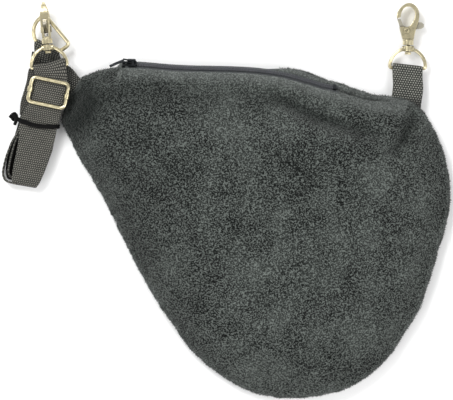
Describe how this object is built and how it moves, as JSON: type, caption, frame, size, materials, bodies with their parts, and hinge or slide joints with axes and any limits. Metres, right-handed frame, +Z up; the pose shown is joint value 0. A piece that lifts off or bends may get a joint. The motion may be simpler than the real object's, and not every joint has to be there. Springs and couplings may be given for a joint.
{
  "type": "hand warmer muff",
  "caption": "Zip-top padded fleece muff, pear-shaped and lying flat, with a swivel clip hook on one corner and a D-ring with a folded clip strap on the other.",
  "frame": {"origin": "under the middle of the whole object, on the surface it lies on", "axes": "+Z up out of the muff's front as it lies on its back, +Y towards the zipped edge, +X towards the corner with the single hook"},
  "size_m": [0.3593, 0.3175, 0.0465],
  "materials": {
    "fleece": "napped, matt",
    "wadding": "fibre fill",
    "lining": "smooth woven",
    "webbing": "ribbed weave",
    "zip_tape": "woven",
    "zip_plastic": "coil",
    "zip_metal": "black",
    "hardware": "antique cast",
    "gate_steel": "plated",
    "spring_steel": "wire",
    "tie": "braided elastic"
  },
  "bodies": {
    "bag": {"front_panel": "fleece", "back_panel": "fleece", "front_wadding": "wadding", "back_wadding": "wadding", "front_lining": "lining", "back_lining": "lining", "zip_tape_front": "zip_tape", "zip_tape_back": "zip_tape", "zip_coil_front": "zip_plastic", "zip_coil_back": "zip_plastic", "zip_top_stops": "zip_metal", "zip_bottom_stop": "zip_metal", "right_tab": "webbing", "left_tab": "webbing"},
    "slider": {"zip_slider": "zip_metal"},
    "pull": {"zip_pull": "zip_metal"},
    "right_eye": {"right_swivel_eye": "hardware"},
    "right_hook": {"right_hook_body": "hardware", "right_gate_rivet": "hardware", "right_gate_spring": "spring_steel"},
    "right_gate": {"right_hook_gate": "gate_steel"},
    "ring": {"d_ring": "hardware"},
    "left_hook": {"left_hook_body": "hardware", "left_gate_rivet": "hardware", "left_gate_spring": "spring_steel"},
    "left_gate": {"left_hook_gate": "gate_steel"},
    "left_eye": {"left_swivel_eye": "hardware"},
    "strap": {"strap_run": "webbing", "strap_folds": "webbing"},
    "adjuster": {"adjuster_frame": "hardware", "adjuster_bar": "hardware", "strap_sewn_end": "webbing"},
    "tie": {"strap_tie": "tie"}
  },
  "joints": [
    {"name": "slider_travel", "type": "hinge", "parent": "bag", "child": "slider", "pos_m": [-0.11346, -0.96217, 0.0175], "axis": [0, 0, -1], "range_deg": [0, 8.35]},
    {"name": "pull_flip", "type": "hinge", "parent": "slider", "child": "pull", "pos_m": [-0.07612, 0.11074, 0.02005], "axis": [0.0225, 0.7067, -0.7071], "range_deg": [0, 160]},
    {"name": "right_eye_swing", "type": "hinge", "parent": "bag", "child": "right_eye", "pos_m": [0.14539, 0.1064, 0.0054], "axis": [0.9997, -0.0262, 0], "range_deg": [-80, 80]},
    {"name": "right_swivel", "type": "hinge", "parent": "right_eye", "child": "right_hook", "pos_m": [0.1458, 0.1219, 0.0054], "axis": [0.0262, 0.9997, 0], "continuous": true},
    {"name": "right_gate_open", "type": "hinge", "parent": "right_hook", "child": "right_gate", "pos_m": [0.14448, 0.13634, 0.0054], "axis": [0, 0, -1], "range_deg": [0, 26], "stiffness_Nm_per_rad": 0.02, "springref_deg": -17.19},
    {"name": "ring_swing", "type": "hinge", "parent": "bag", "child": "ring", "pos_m": [-0.1455, 0.1211, 0.005], "axis": [-0.9, 0.436, 0], "range_deg": [0, 18]},
    {"name": "left_hook_tilt", "type": "hinge", "parent": "ring", "child": "left_hook", "pos_m": [-0.1453, 0.14889, 0.0153], "axis": [-1, 0, 0], "range_deg": [0, 15]},
    {"name": "left_swivel", "type": "hinge", "parent": "left_hook", "child": "left_eye", "pos_m": [-0.1429, 0.1225, 0.0128], "axis": [-0.0906, 0.9959, 0], "range_deg": [-3, 3]},
    {"name": "left_gate_open", "type": "hinge", "parent": "left_hook", "child": "left_gate", "pos_m": [-0.1442, 0.13684, 0.0111], "axis": [0.9959, 0.0906, 0], "range_deg": [0, 26], "stiffness_Nm_per_rad": 0.02, "springref_deg": -17.19},
    {"name": "strap_lift", "type": "hinge", "parent": "left_eye", "child": "strap", "pos_m": [-0.1415, 0.10706, 0.0128], "axis": [-0.9959, -0.0906, 0], "range_deg": [0, 70]},
    {"name": "adjuster_slide", "type": "slide", "parent": "strap", "child": "adjuster", "axis": [0.2079, 0.9781, 0], "range_m": [-0.003, 0.004]},
    {"name": "tie_slide", "type": "slide", "parent": "strap", "child": "tie", "axis": [-0.2079, -0.9781, 0], "range_m": [0, 0.004]}
  ]
}
